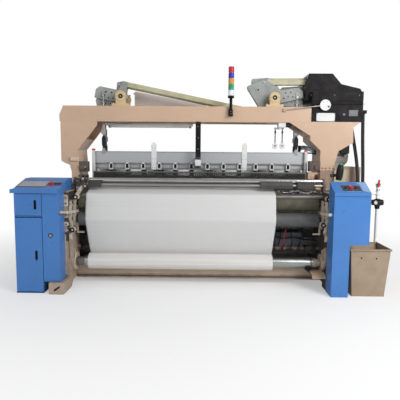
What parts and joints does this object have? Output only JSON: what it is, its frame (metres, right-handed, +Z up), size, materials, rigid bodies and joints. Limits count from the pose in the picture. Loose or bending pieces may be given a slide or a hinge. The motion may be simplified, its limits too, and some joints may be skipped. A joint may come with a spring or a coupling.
{
  "type": "power loom",
  "caption": "Wide shuttleless power loom with overhead arch, dobby-driven heald frames, sley and reed, rollers with cloth, warp beam, blue control cabinet, side cover and waste bin.",
  "frame": {"origin": "centre of the rectangle of four floor anchor holes in the feet of the side frames, at floor level", "axes": "+X along the machine to the right as the weaver faces it, +Y from the weaver to the warp beam, +Z up"},
  "size_m": [3.632, 1.84, 2.241],
  "materials": {
    "bar_enamel": "khaki enamel",
    "beam_aluminium": "cast aluminium",
    "beam_steel": "bright steel tube",
    "bearing_enamel": "satin enamel, ochre",
    "bin_enamel": "matt tan-brown enamel",
    "black_enamel": "semi-gloss black enamel",
    "black_plastic": "matt black",
    "blue_enamel": "gloss blue enamel",
    "bright_chrome": "polished chrome",
    "cloth": "plain white weave",
    "cream_casting": "cream painted casting, worn",
    "dark_casting": "dark oiled casting",
    "girder_enamel": "satin enamel, brown tan",
    "guide_plastic": "black bar with white shoes",
    "hose_rubber": "black hose",
    "lamp_plastic": "white lamp tray",
    "lens_plastic": "coloured translucent lenses",
    "lever_enamel": "grey enamel",
    "motor_enamel": "grey enamel",
    "rail_steel": "ground steel",
    "red_enamel": "red enamel",
    "red_plastic": "gloss red",
    "reed_steel": "fine steel blades",
    "roller_cover": "dark grey-green roller cover",
    "screen_plastic": "grey display",
    "stave_aluminium": "anodised aluminium staves",
    "tan_enamel": "satin machine enamel, tan",
    "warp_yarn": "parallel white yarn",
    "white_enamel": "white enamel"
  },
  "bodies": {
    "root": {"left_side_frame": "tan_enamel", "right_side_frame": "tan_enamel", "cross_girders": "girder_enamel", "breast_beam": "rail_steel", "arch_beams": "tan_enamel", "arch_left_leg": "tan_enamel", "arch_right_leg": "tan_enamel", "lever_bearings": "bearing_enamel", "dobby_housing": "black_enamel", "signal_post": "black_enamel", "signal_lenses": "lens_plastic", "heald_guides": "guide_plastic", "work_lamp": "lamp_plastic", "alarm_disc": "white_enamel", "cloth": "cloth", "temple_rails": "bright_chrome", "temples": "black_plastic", "roller_brackets": "cream_casting", "warp_sheet": "warp_yarn", "warp_stop_motion": "rail_steel", "control_cabinet": "blue_enamel", "column_cover": "blue_enamel", "control_console": "blue_enamel", "console_screen": "screen_plastic", "side_cover": "blue_enamel", "waste_bin": "bin_enamel", "air_stand": "white_enamel", "air_hoses": "hose_rubber", "drive_motor": "motor_enamel"},
    "harness_a": {"heald_frames_a": "stave_aluminium"},
    "left_levers_a": {"left_levers_a": "lever_enamel"},
    "right_levers_a": {"right_levers_a": "lever_enamel"},
    "link_bars_a": {"link_bars_a": "bar_enamel"},
    "pull_bars_a": {"pull_bars_a": "bar_enamel"},
    "harness_b": {"heald_frames_b": "stave_aluminium"},
    "left_levers_b": {"left_levers_b": "lever_enamel"},
    "right_levers_b": {"right_levers_b": "lever_enamel"},
    "link_bars_b": {"link_bars_b": "bar_enamel"},
    "pull_bars_b": {"pull_bars_b": "bar_enamel"},
    "sley": {"sley": "dark_casting", "reed": "reed_steel"},
    "main_shaft": {"main_shaft": "dark_casting"},
    "take_up": {"take_up_roller": "roller_cover"},
    "press": {"press_roller": "roller_cover"},
    "cloth_beam": {"cloth_beam": "beam_steel", "cloth_roll": "cloth"},
    "back_rest": {"back_rest_roller": "beam_steel"},
    "warp_beam": {"warp_beam": "beam_aluminium", "warp_roll": "warp_yarn"},
    "release_levers": {"release_levers": "cream_casting"},
    "cabinet_door": {"cabinet_door": "blue_enamel"},
    "cabinet_hatch": {"cabinet_hatch": "blue_enamel"},
    "cover_lock": {"cover_lock": "bright_chrome"},
    "air_valve": {"air_valve_handle": "red_enamel"},
    "left_stop_button": {"left_stop_button": "red_plastic"},
    "left_start_button": {"left_start_button": "black_plastic"},
    "left_jog_button": {"left_jog_button": "black_plastic"},
    "right_stop_button": {"right_stop_button": "red_plastic"},
    "right_start_button": {"right_start_button": "black_plastic"},
    "right_jog_button": {"right_jog_button": "black_plastic"}
  },
  "joints": [
    {"name": "harness_a_lift", "type": "slide", "parent": "root", "child": "harness_a", "axis": [0, 0, 1], "range_m": [-0.08, 0]},
    {"name": "left_levers_a_turn", "type": "hinge", "parent": "root", "child": "left_levers_a", "pos_m": [-0.848, -0.055, 1.938], "axis": [0, 1, 0], "range_deg": [-22.07, 0]},
    {"name": "right_levers_a_turn", "type": "hinge", "parent": "root", "child": "right_levers_a", "pos_m": [0.8, -0.055, 1.932], "axis": [0, -1, 0], "range_deg": [-17.61, 0]},
    {"name": "link_bars_a_pivot", "type": "hinge", "parent": "left_levers_a", "child": "link_bars_a", "pos_m": [-0.81987, -0.055, 2.08228], "axis": [0, 1, 0], "range_deg": [0, 22.07]},
    {"name": "pull_bars_a_pivot", "type": "hinge", "parent": "right_levers_a", "child": "pull_bars_a", "pos_m": [0.69216, -0.055, 2.10554], "axis": [0, -1, 0], "range_deg": [0, 17.61]},
    {"name": "harness_b_lift", "type": "slide", "parent": "root", "child": "harness_b", "axis": [0, 0, 1], "range_m": [0, 0.08]},
    {"name": "left_levers_b_turn", "type": "hinge", "parent": "root", "child": "left_levers_b", "pos_m": [-0.848, -0.055, 1.938], "axis": [0, 1, 0], "range_deg": [0, 22.07]},
    {"name": "right_levers_b_turn", "type": "hinge", "parent": "root", "child": "right_levers_b", "pos_m": [0.8, -0.055, 1.932], "axis": [0, -1, 0], "range_deg": [0, 17.61]},
    {"name": "link_bars_b_pivot", "type": "hinge", "parent": "left_levers_b", "child": "link_bars_b", "pos_m": [-0.87613, -0.055, 2.08228], "axis": [0, 1, 0], "range_deg": [-22.07, 0]},
    {"name": "pull_bars_b_pivot", "type": "hinge", "parent": "right_levers_b", "child": "pull_bars_b", "pos_m": [0.74973, -0.055, 2.13003], "axis": [0, -1, 0], "range_deg": [-17.61, 0]},
    {"name": "sley_swing", "type": "hinge", "parent": "root", "child": "sley", "pos_m": [0, -0.19, 0.48], "axis": [1, 0, 0], "range_deg": [0, 16]},
    {"name": "main_shaft_turn", "type": "hinge", "parent": "root", "child": "main_shaft", "pos_m": [0, 0.06, 0.4], "axis": [1, 0, 0], "continuous": true},
    {"name": "take_up_turn", "type": "hinge", "parent": "root", "child": "take_up", "pos_m": [0, -0.545, 0.835], "axis": [1, 0, 0], "continuous": true},
    {"name": "press_turn", "type": "hinge", "parent": "root", "child": "press", "pos_m": [0, -0.58, 0.672], "axis": [1, 0, 0], "continuous": true},
    {"name": "cloth_beam_turn", "type": "hinge", "parent": "root", "child": "cloth_beam", "pos_m": [0, -0.62, 0.245], "axis": [1, 0, 0], "continuous": true},
    {"name": "back_rest_turn", "type": "hinge", "parent": "root", "child": "back_rest", "pos_m": [0, 0.65, 0.95], "axis": [1, 0, 0], "continuous": true},
    {"name": "warp_beam_turn", "type": "hinge", "parent": "root", "child": "warp_beam", "pos_m": [0, 0.52, 0.43], "axis": [1, 0, 0], "continuous": true},
    {"name": "release_lift", "type": "hinge", "parent": "root", "child": "release_levers", "pos_m": [0, -0.455, 0.735], "axis": [-1, 0, 0], "range_deg": [0, 25]},
    {"name": "cabinet_door_swing", "type": "hinge", "parent": "root", "child": "cabinet_door", "pos_m": [-1.717, -0.923, 0.368], "axis": [0, 0, -1], "range_deg": [0, 110]},
    {"name": "cabinet_hatch_swing", "type": "hinge", "parent": "root", "child": "cabinet_hatch", "pos_m": [-1.717, -0.923, 0.848], "axis": [0, 0, -1], "range_deg": [0, 110]},
    {"name": "cover_lock_turn", "type": "hinge", "parent": "root", "child": "cover_lock", "pos_m": [-1.384, -0.925, 0.558], "axis": [0, 1, 0], "range_deg": [0, 90]},
    {"name": "air_valve_turn", "type": "hinge", "parent": "root", "child": "air_valve", "pos_m": [1.822, -0.518, 1.026], "axis": [0, 1, 0], "range_deg": [0, 90]},
    {"name": "left_stop_button_press", "type": "slide", "parent": "root", "child": "left_stop_button", "axis": [0, 0.2644, -0.9644], "range_m": [0, 0.004], "stiffness_N_per_m": 400},
    {"name": "left_start_button_press", "type": "slide", "parent": "root", "child": "left_start_button", "axis": [0, 0.2644, -0.9644], "range_m": [0, 0.004], "stiffness_N_per_m": 400},
    {"name": "left_jog_button_press", "type": "slide", "parent": "root", "child": "left_jog_button", "axis": [0, 0.2644, -0.9644], "range_m": [0, 0.004], "stiffness_N_per_m": 400},
    {"name": "right_stop_button_press", "type": "slide", "parent": "root", "child": "right_stop_button", "axis": [0, 0.4472, -0.8944], "range_m": [0, 0.004], "stiffness_N_per_m": 400},
    {"name": "right_start_button_press", "type": "slide", "parent": "root", "child": "right_start_button", "axis": [0, 0.4472, -0.8944], "range_m": [0, 0.004], "stiffness_N_per_m": 400},
    {"name": "right_jog_button_press", "type": "slide", "parent": "root", "child": "right_jog_button", "axis": [0, 0.4472, -0.8944], "range_m": [0, 0.004], "stiffness_N_per_m": 400}
  ],
  "couplings": [
    {"joint": "left_levers_a_turn", "follows": "harness_a_lift", "rad_per_m": 4.8144},
    {"joint": "right_levers_a_turn", "follows": "harness_a_lift", "rad_per_m": 3.8429},
    {"joint": "link_bars_a_pivot", "follows": "harness_a_lift", "rad_per_m": -4.8144},
    {"joint": "pull_bars_a_pivot", "follows": "harness_a_lift", "rad_per_m": -3.8429},
    {"joint": "left_levers_b_turn", "follows": "harness_b_lift", "rad_per_m": 4.8144},
    {"joint": "right_levers_b_turn", "follows": "harness_b_lift", "rad_per_m": 3.8429},
    {"joint": "link_bars_b_pivot", "follows": "harness_b_lift", "rad_per_m": -4.8144},
    {"joint": "pull_bars_b_pivot", "follows": "harness_b_lift", "rad_per_m": -3.8429},
    {"joint": "take_up_turn", "follows": "warp_beam_turn", "ratio": 4.0278},
    {"joint": "press_turn", "follows": "warp_beam_turn", "ratio": 4.0278},
    {"joint": "cloth_beam_turn", "follows": "warp_beam_turn", "ratio": -3.625},
    {"joint": "back_rest_turn", "follows": "warp_beam_turn", "ratio": 4.1429}
  ]
}
